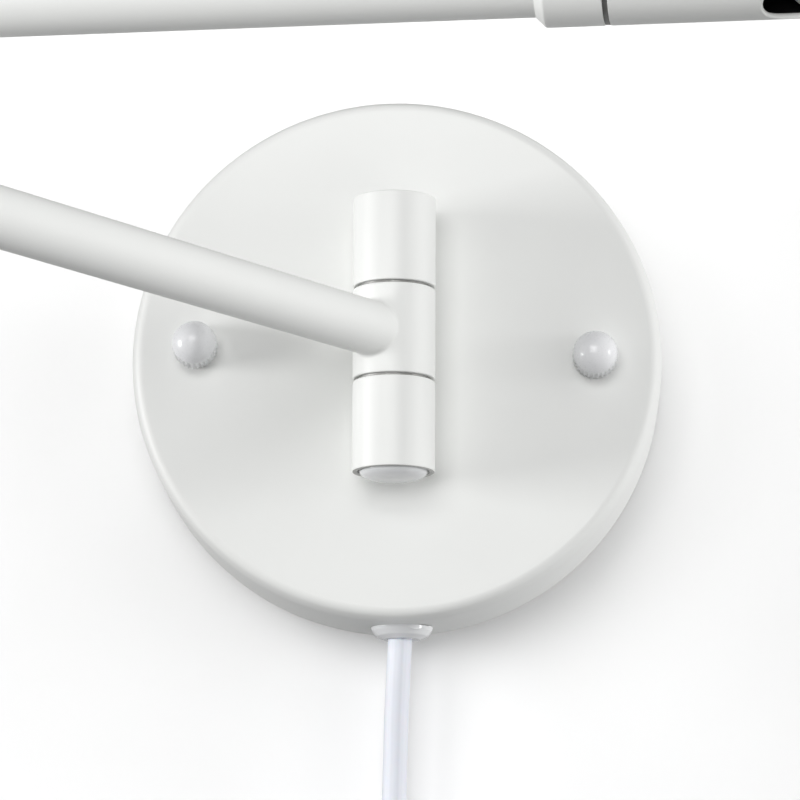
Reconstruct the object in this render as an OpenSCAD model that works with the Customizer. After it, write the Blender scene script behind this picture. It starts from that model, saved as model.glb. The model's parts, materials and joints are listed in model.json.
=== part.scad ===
// Swing arm wall sconce: a round canopy carries a three-part pivot barrel, two
// tubular arms joined by an elbow, and a lamp head on a roll and tilt swivel.
// Origin: centre of the mounting bar's wall face. +X right, -Y out of the wall, +Z up.

/* [Canopy] */
// Diameter of the canopy
canopy_d = 127; // [115:1:150]
// Depth of the canopy from the wall to its face
canopy_depth = 28; // [24:1:32]
// Sheet thickness of the canopy
canopy_wall = 1.2; // [0.8:0.1:2]
// Rounding where the canopy's side meets its face
canopy_edge_r = 2.4; // [2:0.1:4]
// Distance between the two ball nuts
stud_spacing = 95.4; // [90:0.1:100]
// Distance between the two screws that fix the bar to the wall box
box_screw_spacing = 70; // [64:1:76]

/* [Pivot barrels] */
// Diameter of every barrel segment
barrel_d = 19.5; // [18:0.5:20]
// Height of one barrel segment
segment_h = 21.5; // [21:0.1:24]
// Gap between two segments, filled by a friction washer
segment_gap = 0.7; // [0.5:0.1:1]
// Height of the middle segment's centre above the canopy's centre
barrel_rise = 2.6; // [0:0.1:5]
// Clear gap between the canopy's face and the back of the barrel
barrel_gap = 1.25; // [1:0.05:2]

/* [Arms] */
// Diameter of the arm tubes
tube_d = 13; // [12:0.5:13.5]
// Wall of the arm tubes
tube_wall = 1; // [0.8:0.1:1.2]
// Length of the lower arm between its two pivot axes
lower_len = 225; // [200:1:260]
// Distance from the elbow's axis to the head's tilt screws
upper_len = 214; // [200:1:260]
// Angle of the lower arm to the wall as drawn, pointing left and out
lower_rest = 55.9; // [40:0.1:80]
// Angle of the upper arm to the wall as drawn, pointing right and out
upper_rest = 6; // [0:0.5:20]

/* [Head swivel] */
// Diameter of the collar and the slotted sleeve
sleeve_d = 17; // [16:0.5:17.5]
// Wall of the slotted sleeve
sleeve_wall = 1.1; // [0.9:0.1:1.2]
// Width of the slot that the neck swings in
slot_w = 9; // [8.8:0.1:10]
// Turn of the slot about the arm as drawn, from straight down towards the room
slot_roll = 26; // [0:1:90]
// Angle between the arm and the lamp head's axis as drawn
head_tilt = 45; // [10:1:90]

/* [Shade] */
// Diameter of the shade's mouth
shade_d = 124; // [110:1:140]
// Length of the shade along its axis
shade_len = 92; // [80:1:110]
// Sheet thickness of the shade
shade_wall = 1; // [0.8:0.1:1.5]

/* [Cord] */
// Diameter of the supply cord
cord_d = 6; // [5:0.1:6.2]

/* [Hidden] */
$fn = 96;
canopy_r = canopy_d / 2;
barrel_r = barrel_d / 2;
tube_r = tube_d / 2;
tube_bore_r = tube_r - tube_wall;
sleeve_r = sleeve_d / 2;
sleeve_bore_r = sleeve_r - sleeve_wall;
cord_r = cord_d / 2 - 0.1;
pitch = segment_h + segment_gap;
stand_off = canopy_depth + barrel_gap + barrel_r; // wall to barrel axis
top_z = barrel_rise + pitch;                      // centre of the top segment
bottom_z = barrel_rise - pitch;                   // centre of the bottom segment
upper_z = top_z;                                  // height of the upper arm's axis
elbow_at = [-lower_len * cos(lower_rest), -stand_off - lower_len * sin(lower_rest), 0];
slack = 0.05;      // radial running clearance of pivots and close fits
pivot_r = 4.95;    // hollow pivot bolts
pivot_bore_r = 3;  // wire way through the pivot bolts
bush_r = 6.4;      // bore that takes a bush
neck_end = 14;     // where a knuckle's neck ends and its tube starts
spigot_len = 9;    // the part of a neck inside the tube
wire_r = 2.2;      // two-core flex inside the arms
wire_way_r = 2.6;  // passage for it in a knuckle
cup_r = 8.45;      // recess for a nut and its cap
cup_depth = 8.5;   // depth of that recess
dome_shape = 0.75; // 1 is an ellipse, and less is flatter in the middle
nut_h = 4;         // pivot nuts
canopy_side_r = 9; // radius of the gentle bend in the canopy's side
side_bend = 25;    // how far that bend turns
stud_shift = -0.2; // middle of the two studs from the canopy's centre, sideways
stud_rise = 0.85;  // and upwards
stud_lift = 1.35;  // the left stud sits this much higher and the right one lower
bar_t = 2;         // mounting bar sheet
bar_len = 112;     // mounting bar
bar_w = 18;
grommet_x = 1.2;   // cord entry in the canopy's rim
cord_x = 0.8;
bush_foot = -65.4; // lowest point of the cord's bush
cord_out = 12.5;   // distance of the cord from the wall
collar_at = 161.1; // along the upper arm, where the collar starts
collar_len = 12.75;
swivel_gap = 1;    // between collar and sleeve
bush_flange = 0.95;
sleeve_at = collar_at + collar_len + swivel_gap;
sleeve_end = upper_len + 9;
slot_back = 10.7;  // from the tilt screws back to the slot's round end
ball_r = 7.1;      // ball of the tilt joint
ball_flat = 4;     // half its thickness between the flats
neck_r = 4;
cup_top = 24;      // along the head's axis from here on
cup_len = 38;
holder_top = 32;
holder_end = 72;
shell_r = 13.5;
shade_top = 62;
knob_at = 44;
coil_mean_r = 33;
coil_half = 9;     // half the bundle of turns, three cords wide
coil_z = -171;
coil_out = 18.5;
tie_turn = 20;     // the tie's place on the coil, from its top to the left
plug_x = 27;
plug_out = 31;
plug_top = -210;
// Route of the free cord from the grommet to where it joins the coil
cord_route = [
    [0.8, -12.5, -65.4], [0.5, -12.5, -72], [0.25, -12.5, -77], [0.05, -12.5, -82],
    [-0.1, -12.5, -87], [-0.2, -12.5, -92], [-0.3, -12.5, -97], [-0.4, -12.5, -102],
    [-0.4, -12.5, -106], [-0.1, -12.5, -111], [0.7, -12.5, -116], [2.4, -12.5, -121],
    [5.5, -12.5, -126.5], [9.5, -12.5, -131], [14, -12.5, -134.5], [19.5, -12.5, -137.5]
];
// Live and neutral leads from the cord's end to the joints, and on to the feed nipple
live_route = [
    [-1.2, -12.5, -43.5], [-1.4, -12.5, -38], [-4, -12.5, -31], [-10, -13, -26],
    [-17, -13.5, -23.5], [-22.5, -13.6, -24], [-24.8, -13.6, -27.5],
    [-23.4, -13.6, -31], [-21.6, -13.6, -33.6]
];
live_up_route = [
    [-21.6, -11.4, -33.6], [-23.6, -11.4, -30.6], [-26, -11.2, -26.5],
    [-28, -10, -19], [-26, -8.6, -9], [-20, -8.6, 3], [-12, -10.5, 14],
    [-5, -14, 21.5], [-1.2, -18.5, 24.6], [-1.2, -22.5, 24.8]
];

// ---------- places ----------

module out_of_wall() rotate([90, 0, 0]) children();

module at_stud(side)
    translate([side * stud_spacing / 2 + stud_shift, stud_rise - side * stud_lift, 0]) children();

module at_barrel(z) translate([0, -stand_off, z]) children();

module on_lower() at_barrel(0) rotate([0, 0, 180 + lower_rest]) children();

module at_elbow(z) translate(elbow_at + [0, 0, z]) children();

module on_upper() at_elbow(0) rotate([0, 0, -upper_rest]) children();

module along_upper(t) on_upper() translate([t, 0, upper_z]) rotate([0, 90, 0]) children();

module on_swivel() on_upper() translate([upper_len, 0, upper_z]) rotate([-slot_roll, 0, 0])
    children();

module on_head() on_swivel() rotate([0, head_tilt + 90, 0]) children();

// ---------- shared shapes ----------

module ring(outer, inner, h) difference() {
    cylinder(r = outer, h = h);
    translate([0, 0, -1]) cylinder(r = inner, h = h + 2);
}

module hex_nut(across_flats, inner, h) difference() {
    cylinder(d = across_flats / cos(30), h = h, $fn = 6);
    translate([0, 0, -1]) cylinder(r = inner, h = h + 2);
}

// Points of an arc from angle a to angle b
function arc(centre, r, a, b, steps) =
    [for (i = [0:steps]) centre + r * [cos(a + (b - a) * i / steps), sin(a + (b - a) * i / steps)]];

function unit(v) = v / norm(v);

// Direction of a route at point i
function heading(route, i) =
    unit(route[min(i + 1, len(route) - 1)] - route[max(i - 1, 0)]);

// A ring of points square to the route at point i, with the wall's normal as reference
function ring_points(route, i, r, sides) =
    let (t = heading(route, i), side = abs(t[1]) < 0.9 ? [0, 1, 0] : [1, 0, 0],
         u = unit(cross(side, t)), v = cross(t, u))
    [for (k = [0:sides - 1]) route[i] + r * (cos(360 * k / sides) * u + sin(360 * k / sides) * v)];

module sweep_tube(route, r, sides = 8) {
    n = len(route);
    points = [for (i = [0:n - 1]) each ring_points(route, i, r, sides)];
    walls = [
        for (i = [0:n - 2], k = [0:sides - 1])
            let (j = (k + 1) % sides)
            [i * sides + k, i * sides + j, (i + 1) * sides + j, (i + 1) * sides + k]
    ];
    ends = [
        [for (k = [sides - 1:-1:0]) k],
        [for (k = [0:sides - 1]) (n - 1) * sides + k]
    ];
    polyhedron(points = points, faces = concat(walls, ends));
}

// A knuckle's neck towards +X and the spigot that enters the tube
module neck_and_spigot() rotate([0, 90, 0]) {
    translate([0, 0, barrel_r - 4]) cylinder(r = tube_r, h = neck_end - barrel_r + 4);
    cylinder(r = tube_bore_r - slack, h = neck_end + spigot_len);
}

module wire_way() rotate([0, 90, 0]) cylinder(r = wire_way_r, h = neck_end + spigot_len + 1);

// A domed cap that fills a nut recess: skirt at z = 0 and up, dome bulging down to -bulge
module domed_cap(bulge, skirt_h) {
    rim = cup_r - 0.4;
    dome_h = bulge + 0.6;
    translate([0, 0, -bulge]) rotate_extrude() polygon(concat(
        [for (k = [0:12]) [rim * pow(sin(7.5 * k), dome_shape),
                           dome_h - dome_h * pow(cos(7.5 * k), dome_shape)]],
        [[rim, dome_h + skirt_h], [rim - 1.2, dome_h + skirt_h], [rim - 1.2, dome_h + 0.6],
         [0, dome_h + 0.6]]));
}

// ---------- canopy and what it holds ----------

// Its side bends in gently before the edge itself
module canopy() color("whitesmoke") out_of_wall() difference() {
    canopy_bend_r = canopy_side_r - canopy_edge_r;
    edge_at = [canopy_r - canopy_side_r + canopy_bend_r * cos(side_bend), canopy_depth - canopy_edge_r];
    side_at = [canopy_r - canopy_side_r, edge_at.y - canopy_bend_r * sin(side_bend)];
    rotate_extrude($fn = 180) polygon(concat(
        [[0, canopy_depth]],
        arc(edge_at, canopy_edge_r, 90, side_bend, 8),
        arc(side_at, canopy_side_r, side_bend, 0, 6),
        [[canopy_r, 0], [canopy_r - canopy_wall, 0]],
        arc(side_at, canopy_side_r - canopy_wall, 0, side_bend, 6),
        arc(edge_at, canopy_edge_r - canopy_wall, side_bend, 90, 8),
        [[0, canopy_depth - canopy_wall]]));
    for (side = [-1, 1])
        at_stud(side) translate([0, 0, canopy_depth - 5]) cylinder(r = 2.4, h = 10);
    translate([0, top_z, canopy_depth - 5]) cylinder(r = 4.1, h = 10);
    translate([0, bottom_z, canopy_depth - 5]) cylinder(r = 2.3, h = 10);
    translate([grommet_x, 0, cord_out]) rotate([90, 0, 0]) cylinder(r = 5, h = canopy_r + 5);
}

module mounting_bar() color("silver") out_of_wall() difference() {
    union() {
        translate([-bar_len / 2, -bar_w / 2, 0]) cube([bar_len, bar_w, bar_t]);
        for (y = [-bar_w / 2, bar_w / 2 - 1.5])
            translate([-bar_len / 2 + 6, y, bar_t]) cube([bar_len - 12, 1.5, 3]);
    }
    translate([0, 0, -1]) cylinder(r = 6.5, h = bar_t + 2);
    for (side = [-1, 1]) {
        at_stud(side) translate([0, 0, -1]) cylinder(r = 2 + slack, h = bar_t + 2);
        translate([side * box_screw_spacing / 2, 0, 0]) {
            translate([-3.7, -2.3, -1]) cube([7.4, 4.6, bar_t + 2]);
            for (x = [-3.7, 3.7]) translate([x, 0, -1]) cylinder(r = 2.3, h = bar_t + 2);
        }
    }
    translate([16, 0, -1]) cylinder(r = 2.1, h = bar_t + 2);
}

module canopy_studs() color("gold") out_of_wall() for (side = [-1, 1])
    at_stud(side) translate([0, 0, 0.2]) cylinder(r = 2, h = 34);

module stud_nuts() color("silver") out_of_wall() for (side = [-1, 1])
    at_stud(side) translate([0, 0, bar_t]) hex_nut(7, 2 + slack, 3);

// A ball that grows out of a knurled skirt, with a blind hole for the stud
module ball_nut() difference() {
    nut_r = 5.4;
    union() {
        cylinder(r = nut_r, h = 4.2);
        translate([0, 0, 4.2]) sphere(r = nut_r);
    }
    for (k = [0:29]) rotate(12 * k) translate([nut_r + 0.15, 0, -1])
        cylinder(r = 0.36, h = 6.2, $fn = 16);
    translate([0, 0, -6]) cylinder(r = 2 + slack, h = 12.5);
    translate([0, 0, -10]) cylinder(r = 6, h = 10);
}

module ball_nut_left() color("white") out_of_wall()
    at_stud(-1) translate([0, 0, canopy_depth]) ball_nut();

module ball_nut_right() color("white") out_of_wall()
    at_stud(1) translate([0, 0, canopy_depth]) ball_nut();

module ground_screw() color("green") out_of_wall() translate([16, 0, 0]) {
    translate([0, 0, 0.3]) cylinder(r = 2, h = bar_t);
    translate([0, 0, bar_t]) cylinder(r = 4.2, h = 2.6, $fn = 6);
}

module wire_nuts() color("orange") for (side = [-1, 1])
    translate([side * 22, -12.5, -33]) rotate([0, side * 35, 0]) difference() {
        translate([0, 0, -16]) cylinder(r1 = 3.6, r2 = 5.6, h = 16);
        translate([0, 0, -13]) cylinder(r = 4.2, h = 14);
    }

module lead_wires() color("black") for (side = [0, 1]) mirror([side, 0, 0]) {
    sweep_tube(live_route, 0.9);
    sweep_tube(live_up_route, 0.9);
}

module feed_nipple() color("gold") out_of_wall() translate([0, top_z, 0])
    translate([0, 0, canopy_depth - 5]) ring(3.9, 2.7, 9.5);

module nipple_nut() color("gold") out_of_wall() translate([0, top_z, canopy_depth - canopy_wall - 3])
    hex_nut(12, 3.9 + slack, 3);

module barrel_screw() color("silver") out_of_wall() translate([0, bottom_z, 0]) {
    translate([0, 0, canopy_depth - canopy_wall - 2.4]) cylinder(r = 3.6, h = 2.4);
    translate([0, 0, canopy_depth - canopy_wall]) cylinder(r = 1.95, h = 6);
}

module barrel_saddles() color("whitesmoke") difference() {
    out_of_wall() {
        translate([0, top_z, canopy_depth]) ring(6, 3.9 + slack, 4);
        translate([0, bottom_z, canopy_depth]) ring(6, 1.95 + slack, 4);
    }
    at_barrel(-40) cylinder(r = barrel_r + 0.02, h = 90);
}

// One fixed barrel segment, with its nut recess towards +Z
module barrel_segment() difference() {
    translate([0, 0, -segment_h / 2]) cylinder(r = barrel_r, h = segment_h);
    translate([0, 0, -segment_h]) cylinder(r = pivot_r + slack, h = segment_h * 2);
    translate([0, 0, segment_h / 2 - cup_depth]) cylinder(r = cup_r, h = cup_depth + 1);
}

module barrel_top() color("whitesmoke") difference() {
    at_barrel(top_z) barrel_segment();
    out_of_wall() translate([0, top_z, canopy_depth]) cylinder(r = 3.9 + slack, h = 7);
}

module barrel_bottom() color("whitesmoke") difference() {
    at_barrel(bottom_z) mirror([0, 0, 1]) barrel_segment();
    out_of_wall() translate([0, bottom_z, canopy_depth]) cylinder(r = 1.95 + slack, h = 5.6);
}

module barrel_cap_bottom() color("white")
    at_barrel(bottom_z - segment_h / 2) domed_cap(2, 2.2);

module barrel_cap_top() color("white")
    at_barrel(top_z + segment_h / 2) mirror([0, 0, 1]) domed_cap(0.8, 2.2);

// Hollow bolt with a side hole for the feed and a window towards the arm
module pivot_bolt() color("silver") at_barrel(0) difference() {
    translate([0, 0, bottom_z - segment_h / 2 + cup_depth - nut_h - 0.3])
        ring(pivot_r, pivot_bore_r, 2 * pitch + segment_h - 2 * (cup_depth - nut_h - 0.3));
    translate([0, 0, top_z]) rotate([-90, 0, 0]) cylinder(r = wire_way_r, h = 10);
    translate([-6, -6, barrel_rise - 3]) cube([12, 8, 6]);
}

module pivot_nuts() color("silver") {
    at_barrel(top_z + segment_h / 2 - cup_depth) hex_nut(13, pivot_r + slack, nut_h);
    at_barrel(bottom_z - segment_h / 2 + cup_depth - nut_h) hex_nut(13, pivot_r + slack, nut_h);
}

module pivot_washers() color("dimgray") for (side = [-1, 1])
    at_barrel(barrel_rise + side * pitch / 2 - segment_gap / 2 + slack)
        ring(barrel_r - 0.9, pivot_r + slack, segment_gap - 2 * slack);

// ---------- cord and plug ----------

// Bush through the rim: domed flange outside, tapered strain relief sleeve inside
module cord_grommet() color("white") translate([grommet_x, -cord_out, 0]) difference() {
    union() {
        difference() {
            translate([0, 0, bush_foot]) rotate_extrude() polygon([
                [0, 0], [4.4, 0], [6.2, 0.5], [7.1, 1.2], [7.4, 1.9], [7.4, 3.6], [0, 3.6]]);
            translate([-grommet_x, 10, 0]) rotate([90, 0, 0])
                cylinder(r = canopy_r + 0.03, h = 40, $fn = 180);
        }
        translate([0, 0, -64]) cylinder(r = 4.9, h = 3.6);
        translate([0, 0, -61.2]) cylinder(r1 = 6.2, r2 = 4.6, h = 18);
    }
    translate([cord_x - grommet_x, 0, -70]) cylinder(r = cord_r + slack, h = 40);
}

module cord_inlet() color("white") translate([cord_x, -cord_out, bush_foot + 0.1])
    cylinder(r = cord_r, h = 21.3);

module cord() color("white") sweep_tube(cord_route, cord_r, 12);

module cord_coil() color("white") translate([0, -coil_out, coil_z]) rotate([90, 0, 0])
    rotate_extrude() translate([coil_mean_r, 0])
        union() {
            square([2 * coil_half - 6, 2 * coil_half], center = true);
            square([2 * coil_half, 2 * coil_half - 6], center = true);
            for (x = [-1, 1] * (coil_half - 3), y = [-1, 1] * (coil_half - 3))
                translate([x, y]) circle(r = 3, $fn = 32);
        }

module cord_tie() color("black") translate([0, -coil_out, coil_z]) rotate([0, -tie_turn, 0])
    translate([-4, 0, coil_mean_r]) rotate([90, 0, 90]) difference() {
        translate([-coil_half - 1.8, -coil_half - 1.8, 0])
            cube([2 * coil_half + 3.6, 2 * coil_half + 3.6, 8]);
        translate([-coil_half - 0.6, -coil_half - 0.6, -1])
            cube([2 * coil_half + 1.2, 2 * coil_half + 1.2, 10]);
    }

module cord_tail() color("white") translate([plug_x, -plug_out, plug_top])
    cylinder(r = cord_r, h = coil_z - plug_top);

// Moulded two-blade plug, hanging blades down
module plug_body() color("white") translate([plug_x, -plug_out, plug_top]) mirror([0, 0, 1]) {
    cylinder(r1 = 4.2, r2 = 6.5, h = 12);
    translate([0, 0, 12]) cylinder(r1 = 6.5, r2 = 8.5, h = 5);
    translate([-12.5, -8.5, 17]) cube([25, 17, 17]);
}

module plug_blades() color("gold") translate([plug_x, -plug_out, plug_top - 34])
    for (x = [-6.35, 6.35]) translate([x - 0.75, -3.2, -17]) cube([1.5, 6.4, 17]);

// ---------- lower arm ----------

module arm_hub() color("whitesmoke") on_lower() translate([0, 0, barrel_rise]) difference() {
    union() {
        translate([0, 0, -segment_h / 2]) cylinder(r = barrel_r, h = segment_h);
        neck_and_spigot();
    }
    translate([0, 0, -segment_h]) cylinder(r = bush_r, h = 2 * segment_h);
    wire_way();
}

module hub_bushes() color("tan") at_barrel(barrel_rise) for (z = [-segment_h / 2, segment_h / 2 - 7])
    translate([0, 0, z]) ring(bush_r - slack, pivot_r + slack, 7);

module arm_tube(length) rotate([0, 90, 0]) translate([0, 0, neck_end])
    ring(tube_r, tube_bore_r, length);

module lower_tube() color("whitesmoke") on_lower() translate([0, 0, barrel_rise])
    arm_tube(lower_len - 2 * neck_end);

module lower_wire() color("black") on_lower() translate([16, 0, barrel_rise]) rotate([0, 90, 0])
    cylinder(r = wire_r, h = lower_len - 32);

module elbow_lower() color("whitesmoke") at_elbow(barrel_rise) difference() {
    union() {
        translate([0, 0, -segment_h / 2]) cylinder(r = barrel_r, h = segment_h);
        rotate([0, 0, lower_rest]) neck_and_spigot();
    }
    translate([0, 0, -segment_h]) cylinder(r = pivot_r + slack, h = 2 * segment_h);
    translate([0, 0, -segment_h / 2 - 1]) cylinder(r = cup_r, h = 7.5);
    rotate([0, 0, lower_rest]) wire_way();
}

elbow_foot = barrel_rise - segment_h / 2 + 6.5 - nut_h - 0.3;
elbow_head = top_z + segment_h / 2 - cup_depth + nut_h + 0.3;

module elbow_bolt() color("silver") at_elbow(0) difference() {
    translate([0, 0, elbow_foot]) ring(pivot_r, pivot_bore_r, elbow_head - elbow_foot);
    rotate([0, 0, lower_rest]) translate([0, 0, barrel_rise]) rotate([0, 90, 0])
        cylinder(r = wire_way_r, h = 10);
    rotate([0, 0, lower_rest - 90]) translate([-1, -6, upper_z - 2.7]) cube([8, 12, 5.4]);
}

module elbow_nuts() color("silver") {
    at_elbow(elbow_foot + 0.3) hex_nut(13, pivot_r + slack, nut_h);
    at_elbow(elbow_head - nut_h - 0.3 + slack) hex_nut(13, pivot_r + slack, nut_h);
}

module elbow_washer() color("dimgray")
    at_elbow(barrel_rise + pitch / 2 - segment_gap / 2 + slack)
        ring(barrel_r - 0.9, pivot_r + slack, segment_gap - 2 * slack);

module elbow_cap_bottom() color("white") at_elbow(barrel_rise - segment_h / 2) domed_cap(2, 0.6);

// ---------- upper arm ----------

module elbow_upper() color("whitesmoke") on_upper() translate([0, 0, upper_z]) difference() {
    union() {
        translate([0, 0, -segment_h / 2]) cylinder(r = barrel_r, h = segment_h);
        neck_and_spigot();
    }
    translate([0, 0, -segment_h]) cylinder(r = bush_r, h = 2 * segment_h);
    translate([0, 0, segment_h / 2 - cup_depth]) cylinder(r = cup_r, h = cup_depth + 1);
    wire_way();
}

module elbow_bush() color("tan") on_upper() translate([0, 0, upper_z]) difference() {
    translate([0, 0, -segment_h / 2]) ring(bush_r - slack, pivot_r + slack, segment_h - cup_depth);
    rotate([0, 90, 0]) cylinder(r = wire_way_r, h = 10);
}

module elbow_cap_top() color("white") at_elbow(top_z + segment_h / 2) mirror([0, 0, 1])
    domed_cap(0.8, 1.8);

module upper_tube() color("whitesmoke") on_upper() translate([0, 0, upper_z])
    arm_tube(collar_at + collar_len - 1.6 - neck_end);

module upper_wire() color("black") along_upper(16) cylinder(r = wire_r, h = 172);

// Chamfered collar on the tube's end, closed but for the nipple's bore
module tube_collar() color("whitesmoke") along_upper(collar_at) difference() {
    rotate_extrude() polygon([
        [0, 0], [tube_r + 0.2, 0], [sleeve_r, 1.6], [sleeve_r, collar_len], [0, collar_len]]);
    translate([0, 0, -1]) cylinder(r = tube_r + slack, h = collar_len - 0.6);
    translate([0, 0, -1]) cylinder(r = 5 + slack, h = collar_len + 2);
}

module swivel_nipple() color("gold") along_upper(collar_at + collar_len - 6)
    ring(5, 3, 22);

module swivel_nut() color("gold") along_upper(sleeve_at + 9.1) hex_nut(11.6, 5 + slack, 4);

// ---------- head swivel ----------

module swivel_sleeve() color("whitesmoke") on_swivel() difference() {
    translate([sleeve_at - upper_len, 0, 0]) rotate([0, 90, 0])
        ring(sleeve_r, sleeve_bore_r, sleeve_end - sleeve_at);
    translate([slot_w / 2 - slot_back, 0, -sleeve_r - 2]) {
        translate([0, -slot_w / 2, 0]) cube([40, slot_w, sleeve_r + 2]);
        cylinder(d = slot_w, h = sleeve_r + 2);
    }
    rotate([90, 0, 0]) cylinder(r = 2, h = 40, center = true);
}

// Flanged bush: its flange fills the groove between collar and sleeve
module swivel_bush() color("dimgray") along_upper(sleeve_at) {
    ring(sleeve_bore_r - 0.03, 5 + slack, 9);
    translate([0, 0, -bush_flange]) ring(sleeve_r - 0.15, 5 + slack, bush_flange);
}

module tilt_screws() color("silver") on_swivel() for (side = [-1, 1]) rotate([side * 90, 0, 0]) {
    translate([0, 0, 2.3]) cylinder(r = 1.95, h = sleeve_r - 2.2);
    translate([0, 0, sleeve_r + 0.1]) cylinder(r1 = 3.2, r2 = 2.4, h = 1.5);
}

module tilt_washers() color("dimgray") on_swivel() for (side = [-1, 1]) rotate([side * 90, 0, 0])
    translate([0, 0, ball_flat + slack]) ring(3.4, 1.95 + slack, 2.3);

// ---------- lamp head ----------

// Ball with two flats, a blind screw hole in each, and the hollow neck
module head_neck() color("white") on_head() difference() {
    union() {
        intersection() {
            sphere(r = ball_r);
            cube([20, 2 * ball_flat, 20], center = true);
        }
        cylinder(r = neck_r, h = cup_top + 6);
        translate([0, 0, cup_top - 3]) cylinder(r = 7, h = 3);
    }
    for (side = [-1, 1]) rotate([side * 90, 0, 0]) translate([0, 0, 2.2])
        cylinder(r = 1.95 + slack, h = 8);
    translate([0, 0, -10]) cylinder(r = 1.8, h = 50);
}

module neck_nut() color("gold") on_head() translate([0, 0, cup_top + 1.2])
    hex_nut(12, neck_r + slack, 3);

module socket_cup() color("whitesmoke") on_head() difference() {
    translate([0, 0, cup_top]) rotate_extrude() polygon(concat(
        [[neck_r + 0.1, 0]],
        arc([15, 6], 6, -90, 0, 6),
        [[21, cup_len], [20, cup_len]],
        arc([15, 6], 5, 0, -90, 6),
        [[neck_r + 0.1, 1]]));
    translate([0, 0, knob_at]) rotate([90, 0, 0]) cylinder(r = 2.5, h = 30);
}

module lamp_holder() color("ivory") on_head() difference() {
    union() {
        translate([0, 0, holder_top]) cylinder(r = 15.5, h = holder_end - holder_top);
        translate([0, 0, shade_top - 4]) cylinder(r = 19.7, h = 4);
    }
    translate([0, 0, holder_top + 8]) cylinder(r = shell_r + 0.1, h = 60);
    translate([0, 0, knob_at]) rotate([90, 0, 0]) translate([0, 0, 14.5]) cylinder(r = 1.6, h = 30);
    translate([0, 0, holder_top - 1]) cylinder(r = 1.8, h = 20);
}

module screw_shell() color("gold") on_head() translate([0, 0, holder_top + 12])
    ring(shell_r, shell_r - 0.35, 24);

module centre_contact() color("gold") on_head() difference() {
    translate([0, 0, holder_top + 8]) cylinder(r = 4, h = 2);
    translate([0, 0, holder_top]) cylinder(r = 1.8, h = 20);
}

// Spun cone with a flat neck ring that the shade ring clamps to the lamp holder
module shade() color("whitesmoke") on_head() translate([0, 0, shade_top]) rotate_extrude($fn = 128)
    polygon(concat(
        [[15.7, 0], [21, 0]],
        arc([21, 6], 6, -70, -25, 4),
        [[shade_d / 2, shade_len], [shade_d / 2 - shade_wall, shade_len + 0.2]],
        arc([21, 6.3], 5, -25, -70, 4),
        [[20.8, shade_wall], [15.7, shade_wall]]));

module shade_ring() color("ivory") on_head() translate([0, 0, shade_top + shade_wall])
    ring(19, 15.6, 5);

// Rotary switch knob on its spindle, at the side of the socket cup
module switch_knob() color("white") on_head() translate([0, 0, knob_at]) rotate([90, 0, 0])
    difference() {
        union() {
            translate([0, 0, 14.8]) cylinder(r = 1.5, h = 9);
            translate([0, 0, 23]) cylinder(r = 5, h = 9);
            translate([0, 0, 32]) cylinder(r1 = 5, r2 = 4.2, h = 1);
        }
        for (k = [0:11]) rotate(30 * k) translate([5.6, 0, 22]) cylinder(r = 1, h = 14, $fn = 20);
    }

canopy();
mounting_bar();
canopy_studs();
stud_nuts();
ball_nut_left();
ball_nut_right();
ground_screw();
wire_nuts();
lead_wires();
feed_nipple();
nipple_nut();
barrel_screw();
barrel_saddles();
barrel_top();
barrel_bottom();
barrel_cap_top();
barrel_cap_bottom();
pivot_bolt();
pivot_nuts();
pivot_washers();
cord_grommet();
cord_inlet();
cord();
cord_coil();
cord_tie();
cord_tail();
plug_body();
plug_blades();
arm_hub();
hub_bushes();
lower_tube();
lower_wire();
elbow_lower();
elbow_bolt();
elbow_nuts();
elbow_washer();
elbow_cap_bottom();
elbow_upper();
elbow_bush();
elbow_cap_top();
upper_tube();
upper_wire();
tube_collar();
swivel_nipple();
swivel_nut();
swivel_sleeve();
swivel_bush();
tilt_screws();
tilt_washers();
head_neck();
neck_nut();
socket_cup();
lamp_holder();
screw_shell();
centre_contact();
shade();
shade_ring();
switch_knob();
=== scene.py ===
"""Looks of the swing arm wall sconce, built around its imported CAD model.

Places come from the frame's joints, mounts and nodes. Local frames are in millimetres,
and each one's matrix takes its points to the row frame, which is in metres.
"""
import json
from math import acos, asin, atan2, copysign, cos, degrees, exp, hypot, pi, radians, sin, sqrt, tan

import bmesh
import bpy
import numpy as np
from mathutils import Matrix, Vector
from numpy.linalg import norm

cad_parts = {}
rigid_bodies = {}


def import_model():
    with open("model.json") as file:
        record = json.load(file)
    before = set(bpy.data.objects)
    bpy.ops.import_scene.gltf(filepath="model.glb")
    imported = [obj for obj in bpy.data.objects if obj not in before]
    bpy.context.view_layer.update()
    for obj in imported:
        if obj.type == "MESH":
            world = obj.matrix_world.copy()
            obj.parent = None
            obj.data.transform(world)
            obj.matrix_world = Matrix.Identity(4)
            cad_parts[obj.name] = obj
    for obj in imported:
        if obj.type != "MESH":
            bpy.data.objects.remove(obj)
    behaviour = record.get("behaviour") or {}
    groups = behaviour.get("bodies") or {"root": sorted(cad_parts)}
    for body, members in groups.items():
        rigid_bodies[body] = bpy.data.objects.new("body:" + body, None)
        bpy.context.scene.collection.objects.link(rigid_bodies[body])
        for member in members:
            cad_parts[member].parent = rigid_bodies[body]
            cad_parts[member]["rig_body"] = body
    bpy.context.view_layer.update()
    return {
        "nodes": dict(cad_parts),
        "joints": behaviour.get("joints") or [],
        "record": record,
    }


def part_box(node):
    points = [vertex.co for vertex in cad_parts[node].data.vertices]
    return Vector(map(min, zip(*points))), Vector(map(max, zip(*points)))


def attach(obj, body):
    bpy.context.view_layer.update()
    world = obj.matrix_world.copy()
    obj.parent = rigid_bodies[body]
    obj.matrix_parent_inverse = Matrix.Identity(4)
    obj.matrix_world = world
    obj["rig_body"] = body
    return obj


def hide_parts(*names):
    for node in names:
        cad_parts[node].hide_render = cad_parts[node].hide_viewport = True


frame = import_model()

MM = 0.001
UP = Vector((0, 0, 1))
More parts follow.
